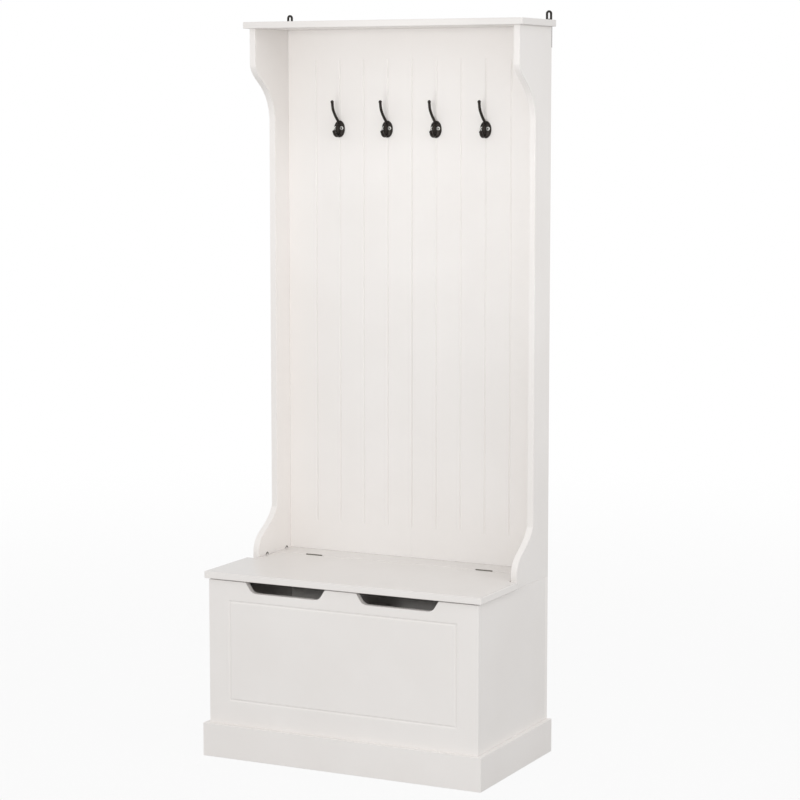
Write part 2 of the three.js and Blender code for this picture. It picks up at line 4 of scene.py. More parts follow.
import bmesh
import bpy
import numpy as np
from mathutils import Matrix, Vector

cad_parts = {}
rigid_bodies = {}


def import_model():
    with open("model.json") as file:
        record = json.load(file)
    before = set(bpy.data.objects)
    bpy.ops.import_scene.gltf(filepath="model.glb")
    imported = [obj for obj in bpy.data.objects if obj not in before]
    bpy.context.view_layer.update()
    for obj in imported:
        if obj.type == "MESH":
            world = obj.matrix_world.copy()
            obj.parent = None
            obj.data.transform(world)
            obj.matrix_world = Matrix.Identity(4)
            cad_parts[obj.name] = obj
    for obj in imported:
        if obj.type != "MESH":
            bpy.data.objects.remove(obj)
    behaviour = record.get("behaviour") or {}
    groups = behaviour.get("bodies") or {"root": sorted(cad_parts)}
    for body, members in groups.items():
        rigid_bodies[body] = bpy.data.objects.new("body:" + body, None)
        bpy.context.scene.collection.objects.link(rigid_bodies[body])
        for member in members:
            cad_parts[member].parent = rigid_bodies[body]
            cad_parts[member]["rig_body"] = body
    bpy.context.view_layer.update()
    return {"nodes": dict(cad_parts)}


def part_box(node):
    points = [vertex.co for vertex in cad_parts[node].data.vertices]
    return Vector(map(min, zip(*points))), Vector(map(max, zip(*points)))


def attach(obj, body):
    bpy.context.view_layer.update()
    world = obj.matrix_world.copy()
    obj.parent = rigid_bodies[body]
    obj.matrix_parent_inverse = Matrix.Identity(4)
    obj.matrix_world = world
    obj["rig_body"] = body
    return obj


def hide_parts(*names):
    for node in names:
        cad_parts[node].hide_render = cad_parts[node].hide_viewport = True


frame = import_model()
mm = 0.001
quarter = math.pi / 2
print("frame loaded:", len(frame["nodes"]), "nodes")


# camera: the place it looks from, in metres, and its turn in degrees
view = {"place": (2.5625, -5.0169, 1.5078), "tilt": 83.172, "turn": 26.537, "lens": 110.8, "sensor": 36}


def makeCamera():
    lensData = bpy.data.cameras.new("viewCamera")
    lensData.lens = view["lens"]
    lensData.sensor_width = view["sensor"]
    camera = bpy.data.objects.new("viewCamera", lensData)
    camera.location = view["place"]
    camera.rotation_euler = (math.radians(view["tilt"]), 0, math.radians(view["turn"]))
    bpy.context.scene.collection.objects.link(camera)
    bpy.context.scene.camera = camera


makeCamera()
print("camera placed")


# ways to make a surface
def stitchRings(name, shells, mark=None):
    # closed rings of points, one after the other, are stitched with quads and capped at both ends.
    # shells: arrays (levels, points, 3) in metres, each one closed skin. mark: the same shape without the 3,
    # 1 on eased edges and in recesses
    counts = [s.shape[0] * s.shape[1] for s in shells]
    starts = np.concatenate([[0], np.cumsum(counts)])
    faces = []
    for shell, start in zip(shells, starts):
        levels, points = shell.shape[:2]
        index = start + np.arange(levels * points).reshape(levels, points)
        around = np.roll(index, -1, axis=1)
        quads = np.stack([index[:-1], around[:-1], around[1:], index[1:]], axis=-1).reshape(-1, 4)
        faces += quads.tolist() + [index[0, ::-1].tolist(), index[-1].tolist()]
    mesh = bpy.data.meshes.new(name)
    mesh.from_pydata(np.concatenate([s.reshape(-1, 3) for s in shells]), [], faces)
    layer = mesh.attributes.new("edge", "FLOAT", "POINT")
    values = np.concatenate([m.reshape(-1) for m in mark]) if mark else np.zeros(starts[-1])
    layer.data.foreach_set("value", values.astype(np.float32))
    shape = bmesh.new()
    shape.from_mesh(mesh)
    bmesh.ops.remove_doubles(shape, verts=shape.verts, dist=1e-6)
    bmesh.ops.dissolve_degenerate(shape, dist=1e-7, edges=shape.edges)
    bmesh.ops.recalc_face_normals(shape, faces=shape.faces)
    shape.to_mesh(mesh)
    shape.free()
    mesh.shade_smooth()
    return mesh


def addPiece(name, nodes, mesh, material, flatFaces=True):
    # the piece stands for its CAD nodes and rides on their body
    piece = bpy.data.objects.new(name, mesh)
    bpy.context.scene.collection.objects.link(piece)
    mesh.materials.append(material)
    if flatFaces:
        weighted = piece.modifiers.new("flatFaces", "WEIGHTED_NORMAL")
        weighted.weight = 100
    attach(piece, frame["nodes"][nodes[0]]["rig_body"])
    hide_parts(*nodes)
    return piece


def boxOf(node):
    low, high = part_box(node)
    return np.array(low), np.array(high)


def insetCorners(corners, distance):
    # every corner moves in along the sum of its two side normals, so each side moves in by the distance
    side = np.roll(corners, -1, axis=0) - corners
    side = side / np.linalg.norm(side, axis=1, keepdims=True)
    after = np.stack([side[:, 1], -side[:, 0]], axis=1)
    before = np.roll(after, 1, axis=0)
    spread = 1 + np.sum(before * after, axis=1, keepdims=True)
    return corners - distance * (before + after) / spread


def easedRing(corners, rounding, steps):
    # corner - incoming * r * (1 - sin t) + outgoing * r * (1 - cos t): a quarter circle at a square corner
    outgoing = np.roll(corners, -1, axis=0) - corners
    outgoing = outgoing / np.linalg.norm(outgoing, axis=1, keepdims=True)
    incoming = np.roll(outgoing, 1, axis=0)
    t = np.linspace(0, quarter, steps + 1)[None, :, None]
    r = rounding[:, None, None]
    before, after = incoming[:, None] * r * (1 - np.sin(t)), outgoing[:, None] * r * (1 - np.cos(t))
    return (corners[:, None] - before + after).reshape(-1, 2)


def slabRings(corners, rounding, span, axes, edge, above=None, ledge=None, steps=3):
    # an outline carried along an axis. Near both ends it is inset by edge * (1 - sin a) at edge * (1 - cos a)
    # from the end. Above the ledge the outline may be another one with as many corners
    corners = np.array(corners, float)
    rounding = np.broadcast_to(np.array(rounding, float), len(corners)).copy()
    upper = corners if above is None else np.array(above, float)
    area = np.sum(corners[:, 0] * np.roll(corners[:, 1], -1) - corners[:, 1] * np.roll(corners[:, 0], -1))
    if area < 0:
        corners, upper, rounding = corners[::-1], upper[::-1], rounding[::-1]
    outgoing = np.roll(corners, -1, axis=0) - corners
    incoming = np.roll(outgoing, 1, axis=0)
    convex = incoming[:, 0] * outgoing[:, 1] - incoming[:, 1] * outgoing[:, 0] > 0
    rise = np.linspace(0, quarter, steps + 1)
    low, high = span

    def station(end, inwards, a, outline):
        return end + inwards * edge * (1 - math.cos(a)), edge * (1 - math.sin(a)), math.sin(2 * a), outline

    stations = [station(low, 1, a, corners) for a in rise]
    if ledge is not None:
        stations += [(ledge, 0, 0, corners), (ledge, 0, 0, upper)]
    stations += [station(high, -1, a, upper) for a in rise[::-1]]
    rings, marks = [], []
    bend = np.tile(np.sin(2 * rise), len(corners)) * np.repeat(convex & (rounding > 0), steps + 1)
    for level, inset, worn, outline in stations:
        radius = np.where(convex, np.maximum(rounding - inset, 0), rounding + inset * (rounding > 0))
        flat = easedRing(insetCorners(outline, inset), radius, steps)
        ring = np.empty((len(flat), 3))
        ring[:, axes[0]], ring[:, axes[1]], ring[:, axes[2]] = flat[:, 0], flat[:, 1], level
        rings.append(ring)
        share = np.repeat(radius / np.maximum(rounding, 1e-9), steps + 1)
        marks.append(np.maximum(bend * share, worn))
    return np.array(rings), np.array(marks)


def rectangle(low, high, axes):
    (u0, v0), (u1, v1) = low[list(axes)], high[list(axes)]
    return [(u0, v0), (u1, v0), (u1, v1), (u0, v1)]


def latheRings(profile, centre, direction, sides):
    # each (along, radius) of the profile is turned round the direction from the centre
    along, radius = np.array(profile, float).T
    direction = np.array(direction, float)
    first = np.array((0, 0, 1.0)) if abs(direction[2]) < 0.9 else np.array((1.0, 0, 0))
    second = np.cross(direction, first)
    angle = np.linspace(0, 2 * math.pi, sides, endpoint=False)[None, :, None]
    spoke = first * np.cos(angle) + second * np.sin(angle)
    return np.array(centre) + along[:, None, None] * direction + radius[:, None, None] * spoke


# shader groups shared by the finishes; each works on Object coordinates
def newGroup(name, inputs, outputs):
    group = bpy.data.node_groups.new(name, "ShaderNodeTree")
    for socket, kind, value in inputs:
        made = group.interface.new_socket(socket, in_out="INPUT", socket_type=kind)
        made.default_value = value
    for socket, kind in outputs:
        group.interface.new_socket(socket, in_out="OUTPUT", socket_type=kind)
    return group, group.nodes.new("NodeGroupInput"), group.nodes.new("NodeGroupOutput")


def addNode(tree, kind, settings=None, values=None):
    node = tree.nodes.new(kind)
    for key, value in (settings or {}).items():
        setattr(node, key, value)
    for key, value in (values or {}).items():
        if isinstance(value, bpy.types.NodeSocket):
            tree.links.new(value, node.inputs[key])
        else:
            node.inputs[key].default_value = value
    return node


def remap(tree, value, fromLow, fromHigh, toLow, toHigh):
    values = {"Value": value, "From Min": fromLow, "From Max": fromHigh, "To Min": toLow, "To Max": toHigh}
    return addNode(tree, "ShaderNodeMapRange", {"interpolation_type": "SMOOTHSTEP"}, values).outputs["Result"]


def maths(tree, operation, first, second):
    return addNode(tree, "ShaderNodeMath", {"operation": operation}, {0: first, 1: second}).outputs[0]


def blendColours(tree, factor, first, second):
    node = addNode(tree, "ShaderNodeMix", {"data_type": "RGBA"}, {0: factor, 6: first, 7: second})
    return node.outputs[2]


def noiseAt(tree, place, scale, detail):
    values = {"Vector": place, "Scale": scale, "Detail": detail}
    return addNode(tree, "ShaderNodeTexNoise", None, values).outputs["Fac"]


def makeMottle():
    # broad soft clouds and finer ones over them, 0 to 1
    outputs = [("Broad", "NodeSocketFloat"), ("Fine", "NodeSocketFloat")]
    group, given, result = newGroup("mottle", [("Scale", "NodeSocketFloat", 6.0)], outputs)
    place = addNode(group, "ShaderNodeTexCoord").outputs["Object"]
    broad = noiseAt(group, place, given.outputs["Scale"], 3)
    fine = noiseAt(group, place, maths(group, "MULTIPLY", given.outputs["Scale"], 14.0), 5)
    group.links.new(remap(group, broad, 0.3, 0.7, 0, 1), result.inputs["Broad"])
    group.links.new(remap(group, fine, 0.3, 0.7, 0, 1), result.inputs["Fine"])
    return group


def makeEdgeWearAndRecessShade():
    # the eased edges and the recesses that the mesh marks, broken up by a noise. Edges take it as wear; the
    # screw and cam recesses as painted shade
    inputs = [
        ("Amount", "NodeSocketFloat", 0.5),
        ("Break", "NodeSocketFloat", 60.0),
        ("Least", "NodeSocketFloat", 0.15),
    ]
    group, given, result = newGroup("edgeWearAndRecessShade", inputs, [("Mask", "NodeSocketFloat")])
    edge = addNode(group, "ShaderNodeAttribute", {"attribute_name": "edge"}).outputs["Fac"]
    place = addNode(group, "ShaderNodeTexCoord").outputs["Object"]
    broken = remap(group, noiseAt(group, place, given.outputs["Break"], 4), 0.42, 0.62, 0, 1)
    worn = maths(group, "MULTIPLY", edge, maths(group, "MAXIMUM", broken, given.outputs["Least"]))
    group.links.new(maths(group, "MULTIPLY", worn, given.outputs["Amount"]), result.inputs["Mask"])
    return group


def makeSprayedSkin():
    # the low orange-peel of a sprayed coat, with a finer dimple over it, as a height
    inputs = [("Size", "NodeSocketFloat", 420.0)]
    group, given, result = newGroup("sprayedSkin", inputs, [("Height", "NodeSocketFloat")])
    place = addNode(group, "ShaderNodeTexCoord").outputs["Object"]
    peel = addNode(
        group,
        "ShaderNodeTexVoronoi",
        {"feature": "SMOOTH_F1"},
        {"Vector": place, "Scale": given.outputs["Size"], "Smoothness": 1.0},
    )
    dimple = noiseAt(group, place, maths(group, "MULTIPLY", given.outputs["Size"], 3.1), 2)
    both = maths(group, "ADD", peel.outputs["Distance"], maths(group, "MULTIPLY", dimple, 0.4))
    group.links.new(both, result.inputs["Height"])
    return group


def makeMetalGrain():
    # casting grain: speckle for the colour and a bumpy height
    outputs = [("Speckle", "NodeSocketFloat"), ("Height", "NodeSocketFloat")]
    group, given, result = newGroup("metalGrain", [("Grain", "NodeSocketFloat", 900.0)], outputs)
    place = addNode(group, "ShaderNodeTexCoord").outputs["Object"]
    grain = noiseAt(group, place, given.outputs["Grain"], 6)
    cells = addNode(group, "ShaderNodeTexVoronoi", None, {"Vector": place, "Scale": given.outputs["Grain"]})
    group.links.new(remap(group, grain, 0.35, 0.7, 0, 1), result.inputs["Speckle"])
    height = maths(group, "ADD", grain, cells.outputs["Distance"])
    group.links.new(height, result.inputs["Height"])
    return group


mottle, edgeWearAndRecessShade = makeMottle(), makeEdgeWearAndRecessShade()
sprayedSkin, metalGrain = makeSprayedSkin(), makeMetalGrain()


def useGroup(tree, group, values=None):
    return addNode(tree, "ShaderNodeGroup", {"node_tree": group}, values)


def newFinish(name, constants):
    material = bpy.data.materials.new(name)
    material.use_nodes = True
    tree = material.node_tree
    shader = tree.nodes["Principled BSDF"]
    for socket, value in constants.items():
        shader.inputs[socket].default_value = value
    return material, tree, shader


paint = {
    "bright": (0.885, 0.856, 0.832),
    "dull": (0.865, 0.834, 0.808),
    "edge": (0.790, 0.753, 0.722),
    # painted shade on the seat's top
    "seatTopPaintedShade": 0.885,
    # painted light: the chest's back a lighter white
    "backPaintedLight": 1.06,
    # painted shade: the top board a darker white
    "topPaintedShade": 0.94,
    "satin": (0.36, 0.41),
    "gloss": (0.10, 0.13),
    "skin": 0.35,
    "seatSkin": 0.04,
    "skinDepth": 0.04 * mm,
}


def makePaint(name, roughness, skinStrength, paintedLightScale=1.0, upPaintedShade=1.0):
    # the first factor scales the whole piece's colour: a lighter copy of the paint is painted light, a darker
    # one painted shade. The second darkens the faces that look up when the piece is at rest: painted shade
    bright, dull, edge = (tuple(paintedLightScale * np.array(paint[tone])) + (1,) for tone in ("bright", "dull", "edge"))
    material, tree, shader = newFinish(name, {"Specular IOR Level": 0.45})
    clouds = useGroup(tree, mottle, {"Scale": 5.0})
    worn = useGroup(tree, edgeWearAndRecessShade, {"Amount": 0.45}).outputs["Mask"]
    coat = blendColours(tree, clouds.outputs["Broad"], dull, bright)
    colour = blendColours(tree, worn, coat, edge)
    # painted shade: faces that look up in object space are darkened
    if upPaintedShade < 1:
        facing = addNode(tree, "ShaderNodeTexCoord")
        split = addNode(tree, "ShaderNodeSeparateXYZ", None, {"Vector": facing.outputs["Normal"]})
        up = remap(tree, split.outputs["Z"], 0.5, 0.95, 0, 1 - upPaintedShade)
        colour = blendColours(tree, up, colour, (0, 0, 0, 1))
    tree.links.new(colour, shader.inputs["Base Color"])
    rough = remap(tree, clouds.outputs["Fine"], 0, 1, *roughness)
    tree.links.new(maths(tree, "ADD", rough, maths(tree, "MULTIPLY", worn, 0.12)), shader.inputs["Roughness"])
    skin = useGroup(tree, sprayedSkin).outputs["Height"]
    values = {"Height": skin, "Strength": skinStrength, "Distance": paint["skinDepth"]}
    bump = addNode(tree, "ShaderNodeBump", None, values)
    tree.links.new(bump.outputs["Normal"], shader.inputs["Normal"])
    return material


def makeMetal(name, dark, light, gloss, grainSize, grainDepth, metallic=1.0, wearAndRecessShadeColour=None, wearAndRecessShadeLeast=0.15):
    # speckled between two colours; a third colour shows where the mesh is marked, on the whole mark if its
    # least share is 1. On the hooks that is edge wear; in the recess of a screw or cam it is painted shade
    material, tree, shader = newFinish(name, {"Metallic": metallic})
    grain = useGroup(tree, metalGrain, {"Grain": grainSize})
    clouds = useGroup(tree, mottle, {"Scale": 40.0})
    colour = blendColours(tree, grain.outputs["Speckle"], dark, light)
    rough = remap(tree, clouds.outputs["Fine"], 0, 1, *gloss)
    if wearAndRecessShadeColour:
        wearAndRecessShadeValues = {"Amount": 0.6 + 0.4 * wearAndRecessShadeLeast, "Break": 300.0, "Least": wearAndRecessShadeLeast}
        worn = useGroup(tree, edgeWearAndRecessShade, wearAndRecessShadeValues).outputs["Mask"]
        colour = blendColours(tree, worn, colour, wearAndRecessShadeColour)
    tree.links.new(colour, shader.inputs["Base Color"])
    tree.links.new(rough, shader.inputs["Roughness"])
    values = {"Height": grain.outputs["Height"], "Strength": 0.5, "Distance": grainDepth}
    bump = addNode(tree, "ShaderNodeBump", None, values)
    tree.links.new(bump.outputs["Normal"], shader.inputs["Normal"])
    return material


def makeRubber():
    constants = {"Transmission Weight": 0.35, "IOR": 1.45, "Subsurface Weight": 0.2}
    material, tree, shader = newFinish("clearRubber", constants)
    clouds = useGroup(tree, mottle, {"Scale": 90.0})
    colour = blendColours(tree, clouds.outputs["Broad"], (0.62, 0.61, 0.59, 1), (0.72, 0.71, 0.69, 1))
    tree.links.new(colour, shader.inputs["Base Color"])
    tree.links.new(remap(tree, clouds.outputs["Fine"], 0, 1, 0.4, 0.6), shader.inputs["Roughness"])
    return material


satinPaint = makePaint("satinPaint", paint["satin"], paint["skin"])
# the seat's finish, with painted shade darkening its top
glossPaint = makePaint("glossPaint", paint["gloss"], paint["seatSkin"], 1.0, paint["seatTopPaintedShade"])  # the seat
# the chest's back finish is a lighter copy of the paint: painted light
backLitPaint = makePaint("backLitPaint", paint["satin"], paint["skin"], paint["backPaintedLight"])  # the chest's back
# the top board's finish is a darker copy of the paint: painted shade
topShadedPaint = makePaint("topShadedPaint", paint["satin"], paint["skin"], paint["topPaintedShade"])  # the top board
hookIron = makeMetal(
    "hookIron", (0.016, 0.013, 0.011, 1), (0.045, 0.037, 0.032, 1), (0.28, 0.45), 900.0, 0.06 * mm,
    0.7, (0.12, 0.095, 0.075, 1),
)
bracketSteel = makeMetal(
    "bracketSteel", (0.03, 0.028, 0.026, 1), (0.07, 0.066, 0.06, 1), (0.35, 0.55), 1500.0, 0.03 * mm, 0.8
)
# the cross of a screw head is marked and painted near black: painted shade in the recess
brightSteel = makeMetal(
    "brightSteel", (0.74, 0.73, 0.71, 1), (0.90, 0.89, 0.87, 1), (0.24, 0.38), 1400.0, 0.01 * mm,
    1.0, (0.02, 0.02, 0.02, 1), 1.0,
)
hingeSteel = makeMetal(
    "hingeSteel", (0.13, 0.125, 0.10, 1), (0.22, 0.21, 0.18, 1), (0.3, 0.5), 1200.0, 0.02 * mm, 0.8
)
# the cam's cross recess is marked and painted near black: painted shade
camZinc = makeMetal(
    "camZinc", (0.035, 0.032, 0.028, 1), (0.07, 0.064, 0.056, 1), (0.4, 0.6), 1100.0, 0.04 * mm, 0.5,
    (0.01, 0.01, 0.01, 1), 1.0,
)
clearRubber = makeRubber()
print("finishes made")


# plain boards: an outline across two axes, carried along the third, with all edges eased
board = {"edge": 0.8 * mm, "hiddenEdge": 0.5 * mm}


def plainBoard(name, node, outline=(0, 2), length=1, edge=None, finish=satinPaint):
    low, high = boxOf(node)
    edge = edge or board["edge"]
    corners = rectangle(low, high, outline)
    rings, marks = slabRings(corners, edge, (low[length], high[length]), (*outline, length), edge)
    mesh = stitchRings(name, [rings], [marks])
    return addPiece(name, [node], mesh, finish)


def makePlinth():
    plainBoard("plinthFront", "plinth_front")
    plainBoard("plinthLeft", "plinth_left")
    plainBoard("plinthRight", "plinth_right")


makePlinth()
print("plinth made")


# chest: its front has a routed frame and two handle openings, and each wall a housing for the floor
chest = {
    "frameWidth": 8 * mm,
    "frameDepth": 2 * mm,
    "frameSide": 55 * mm,
    "frameTop": 48 * mm,
    "frameBottom": 137 * mm,
    "handleCentre": 143 * mm,
    "handleHalf": 103 * mm,
    "handleDepth": 24.5 * mm,
    "slopeRun": 10.5 * mm,
    "slopeDrop": 16 * mm,
    "cornerRun": 29 * mm,
    "belowHandle": 6 * mm,
    "housing": 5 * mm,
    "fit": 0.3 * mm,
}


def chestWall(name, node, across, length, inner, finish=satinPaint):
    # a rectangle with a notch at the floor panel's height on its inner side
    low, high = boxOf(node)
    floorLow, floorHigh = boxOf("chest_floor_panel")
    z0, z1 = floorLow[2], floorHigh[2] + chest["fit"]
    face = high[across] if inner > 0 else low[across]
    back = low[across] if inner > 0 else high[across]
    groove = face - inner * chest["housing"]
    corners = [
        (back, low[2]), (face, low[2]), (face, z0), (groove, z0),
        (groove, z1), (face, z1), (face, high[2]), (back, high[2]),
    ]
    edge = board["edge"]
    rounding = [edge, edge, 0, 0, 0, 0, edge, edge]
    rings, marks = slabRings(corners, rounding, (low[length], high[length]), (across, 2, length), edge)
    return addPiece(name, [node], stitchRings(name, [rings], [marks]), finish)


def handleProfile(centre, top):
    # the top edge through one opening: a straight slope, a quadratic curve that carries it on, a flat bottom
    slopeEnd = chest["handleHalf"] - chest["slopeRun"]
    flatEnd = chest["handleHalf"] - chest["cornerRun"]
    rest = chest["handleDepth"] - chest["slopeDrop"]
    control = slopeEnd - chest["slopeRun"] * rest / chest["slopeDrop"]
    t = np.linspace(0, 1, 9)
    curveX = (1 - t) ** 2 * slopeEnd + 2 * t * (1 - t) * control + t**2 * flatEnd
    curveZ = (1 - t) ** 2 * -chest["slopeDrop"] - (1 - (1 - t) ** 2) * chest["handleDepth"]
    x = np.concatenate([[chest["handleHalf"]], curveX])
    z = np.concatenate([[0], curveZ])
    return np.concatenate([centre - x, centre + x[::-1]]), top + np.concatenate([z, z[::-1]])


def makeFrontPanel():
    low, high = boxOf("chest_front")
    floorLow, floorHigh = boxOf("chest_floor_panel")
    edge = board["edge"]
    half = chest["frameWidth"] / 2
    sideX = high[0] - chest["frameSide"]
    runs = (chest["frameBottom"], high[2] - chest["frameTop"])
    lips = half * np.linspace(-1, 1, 7)
    rise = np.linspace(0, quarter, 4)

    # stations across the width, with how far each is inside the rounded ends
    leftX, leftZ = handleProfile(-chest["handleCentre"], high[2])
    rightX, rightZ = handleProfile(chest["handleCentre"], high[2])
    endX = high[0] - edge + edge * np.cos(rise)
    inside = np.unique(np.concatenate([leftX, rightX, sideX + lips, -sideX + lips, [0]]))
    x = np.concatenate([-endX, inside, endX[::-1]])
    inset = np.concatenate([edge * (1 - np.sin(rise)), 0 * inside, edge * (1 - np.sin(rise[::-1]))])
    worn = np.concatenate([np.sin(2 * rise), 0 * inside, np.sin(2 * rise[::-1])])
    top = np.interp(x, np.concatenate([leftX, rightX]), np.concatenate([leftZ, rightZ]), high[2], high[2])

    # front face: heights as columns; the groove's depth is cos^2 of the distance to the framing rectangle
    belowHandle = high[2] - chest["handleDepth"] - chest["belowHandle"]
    z = np.concatenate([[low[2] + edge], runs[0] + lips, runs[1] + lips, [belowHandle]])
    middle, tall = (runs[0] + runs[1]) / 2, (runs[1] - runs[0]) / 2
    distance = np.maximum(np.abs(x)[:, None] - sideX, np.abs(z - middle)[None] - tall)
    groove = chest["frameDepth"] * np.cos(quarter * np.clip(distance / half, -1, 1)) ** 2
    frontY = low[1] + inset[:, None] + groove
    frontZ = np.broadcast_to(z, frontY.shape)

    def corner(y, level, start):
        a = start - rise
        r = (edge - inset)[:, None]
        return y + r * np.cos(a), level[:, None] + r * np.sin(a)

    flat = np.full(len(x), low[2] + edge)
    topFront = corner(low[1] + edge, top - edge, math.pi)
    topBack = corner(high[1] - edge, top - edge, quarter)
    footBack = corner(high[1] - edge, flat, 0)
    footFront = corner(low[1] + edge, flat, -quarter)
    notchZ = np.array([floorHigh[2] + chest["fit"]] * 2 + [floorLow[2]] * 2)
    notchIn = np.array([0, 1, 1, 0]) * chest["housing"]
    notch = (high[1] - inset[:, None] - notchIn, np.broadcast_to(notchZ, (len(x), 4)))
    parts = [(frontY, frontZ), topFront, topBack, notch, footBack, footFront]
    y = np.concatenate([p[0] for p in parts], axis=1)
    levels = np.concatenate([p[1] for p in parts], axis=1)
    rings = np.stack([np.broadcast_to(x[:, None], y.shape), y, levels], axis=-1)
    bend = np.sin(2 * rise)
    corners = np.concatenate([0 * z, bend, bend, np.zeros(4), bend, bend])
    marks = np.maximum(worn[:, None], corners[None])
    mesh = stitchRings("frontPanel", [rings], [marks])
    addPiece("frontPanel", ["chest_front"], mesh, satinPaint)


def makeChest():
    makeFrontPanel()
    chestWall("chestBack", "chest_back", 1, 0, -1, backLitPaint)
    chestWall("chestLeft", "chest_left", 0, 1, 1)
    chestWall("chestRight", "chest_right", 0, 1, -1)
    plainBoard("chestFloor", "chest_floor_panel", (0, 1), 2, board["hiddenEdge"])


makeChest()
print("chest made")


# seat: the lid's narrow part runs between the hutch's sides; it and the rail are cut out for the hinges
seat = {
    "corner": 3 * mm,
    "edge": 1.4 * mm,
    "innerEdge": 0.5 * mm,
    "fit": 0.3 * mm,
    "leafHeight": 14 * mm,
    "sideGap": 2 * mm,
    "footGap": 14 * mm,
    "bumperStraight": 0.55,
}


def hingeSpots():
    # middle and half length of each hinge's mortise
    spots = []
    for side in ("left", "right"):
        low, high = boxOf(f"hinge_fixed_leaf_{side}")
        spots.append(((low[0] + high[0]) / 2, (high[0] - low[0]) / 2 + seat["fit"]))
    return spots


def rearEdge(y, bottom):
    # the hinge side of the lid or the rail from left to right, its notches cut to the bottom or left straight
    notched, straight = [], []
    for middle, half in hingeSpots():
        for share, depth in ((-1, y), (-1, bottom), (1, bottom), (1, y)):
            notched.append((middle + share * half, depth))
        straight += [(middle + share * half, y) for share in (-1, -0.4, 0.4, 1)]
    return notched, straight


def seatBoard(name, node, corners, rounding, edge, notched, ledge):
    low, high = boxOf(node)
    rings, marks = slabRings(corners, rounding, (low[2], high[2]), (0, 1, 2), edge, notched, ledge)
    addPiece(name, [node], stitchRings(name, [rings], [marks]), glossPaint)


def makeSeat():
    low, high = boxOf("seat_lid")
    sideLow = boxOf("hutch_side_right")[0]
    tabY = sideLow[1] - seat["footGap"]
    narrow = sideLow[0] - seat["sideGap"]
    ledge = high[2] - seat["leafHeight"] - seat["fit"]
    notched, straight = rearEdge(high[1], boxOf("hinge_lid_leaf_left")[0][1])
    # half of the outline from the hinge side to the front, then the other half back
    half = [(narrow, high[1]), (narrow, tabY), (high[0], tabY), (high[0], low[1])]
    front = half + [(-x, y) for x, y in half[::-1]]
    halfRounding = [seat["innerEdge"], seat["edge"], seat["edge"], seat["corner"]]
    rounding = [0] * len(straight) + halfRounding + halfRounding[::-1]
    seatBoard("seatLid", "seat_lid", straight + front, rounding, seat["edge"], notched + front, ledge)

    low, high = boxOf("seat_rail")
    notched, straight = rearEdge(low[1], boxOf("hinge_fixed_leaf_left")[1][1])
    rest = [(high[0], low[1]), (high[0], high[1]), (low[0], high[1]), (low[0], low[1])]
    rounding = [0] * len(straight) + [seat["innerEdge"]] * len(rest)
    seatBoard("seatRail", "seat_rail", straight + rest, rounding, board["edge"], notched + rest, ledge)


def makeBumpers():
    # a straight foot, then a quarter of an ellipse over the rest of the height and of the radius
    straightShare = seat["bumperStraight"]
    for side in ("left", "right"):
        low, high = boxOf(f"lid_bumper_{side}")
        centre, radius = (low + high) / 2, (high[0] - low[0]) / 2
        t = np.linspace(0, quarter, 9)
        along = (high[2] - low[2]) * (straightShare + (1 - straightShare) * np.sin(t))
        around = radius * (straightShare + (1 - straightShare) * np.cos(t))
        profile = np.concatenate([[[0, radius]], np.stack([along, around], axis=1)])
        top = np.array([centre[0], centre[1], high[2]])
        mesh = stitchRings(f"bumper_{side}", [latheRings(profile, top, (0, 0, -1), 32)])
        addPiece(f"bumper_{side}", [f"lid_bumper_{side}"], mesh, clearRubber)


makeSeat()
makeBumpers()
print("seat made")


# hutch: side panels with a foot, a waist and an ear, the planked back, and the top board
hutch = {
    "footRise": 28 * mm,
    "footCurve": 103 * mm,
    "earDrop": 85 * mm,
    "earCurve": 122 * mm,
    "waist": 89 * mm,
    "footControls": ((1, 0.53), (0.32, 0.46)),
    "earControls": ((0.12, 0.66), (0.87, 0.66)),
    "plank": 63.5 * mm,
    "grooveWidth": 5 * mm,
    "grooveDepth": 2.2 * mm,
    "grooveShares": (-1, -0.85, -0.5, -0.12, 0, 0.12, 0.5, 0.85, 1),
    "plainBand": 70 * mm,
    "leastPlank": 40 * mm,
    "runOut": 9 * mm,
}


def bezier(p0, p1, p2, p3, steps):
    t = np.linspace(0, 1, steps + 1)[:, None]
    p0, p1, p2, p3 = (np.array(p, float) for p in (p0, p1, p2, p3))
    return (1 - t) ** 3 * p0 + 3 * t * (1 - t) ** 2 * p1 + 3 * t**2 * (1 - t) * p2 + t**3 * p3


def sideOutline(low, high):
    # (y, z) round the panel: rear bottom, foot, curve to the waist, curve to the ear, rear top
    rear, foot, ear, waist = high[1], low[1], low[1], high[1] - hutch["waist"]
    footTop = low[2] + hutch["footRise"]
    earLow = high[2] - hutch["earDrop"]
    waistTop = earLow - hutch["earCurve"]

    def control(shares, y, z, height):
        return [(waist + (y - waist) * forward, z + height * up) for forward, up in shares]

    footCurve = bezier(
        (foot, footTop), *control(hutch["footControls"], foot, footTop, hutch["footCurve"]),
        (waist, footTop + hutch["footCurve"]), 24,
    )
    earCurve = bezier(
        (waist, waistTop), *control(hutch["earControls"], ear, waistTop, hutch["earCurve"]), (ear, earLow), 24
    )
    ends = np.array([(rear, low[2]), (foot, low[2])]), np.array([(ear, high[2]), (rear, high[2])])
    return np.concatenate([ends[0], footCurve, earCurve, ends[1]])


def makeSides():
    for side in ("left", "right"):
        low, high = boxOf(f"hutch_side_{side}")
        corners = sideOutline(low, high)
        rounding = np.zeros(len(corners))
        rounding[[0, 1, -2, -1]] = board["edge"]
        rings, marks = slabRings(corners, rounding, (low[0], high[0]), (1, 2, 0), board["edge"])
        name = f"hutchSide_{side}"
        mesh = stitchRings(name, [rings], [marks])
        addPiece(name, [f"hutch_side_{side}"], mesh, satinPaint)


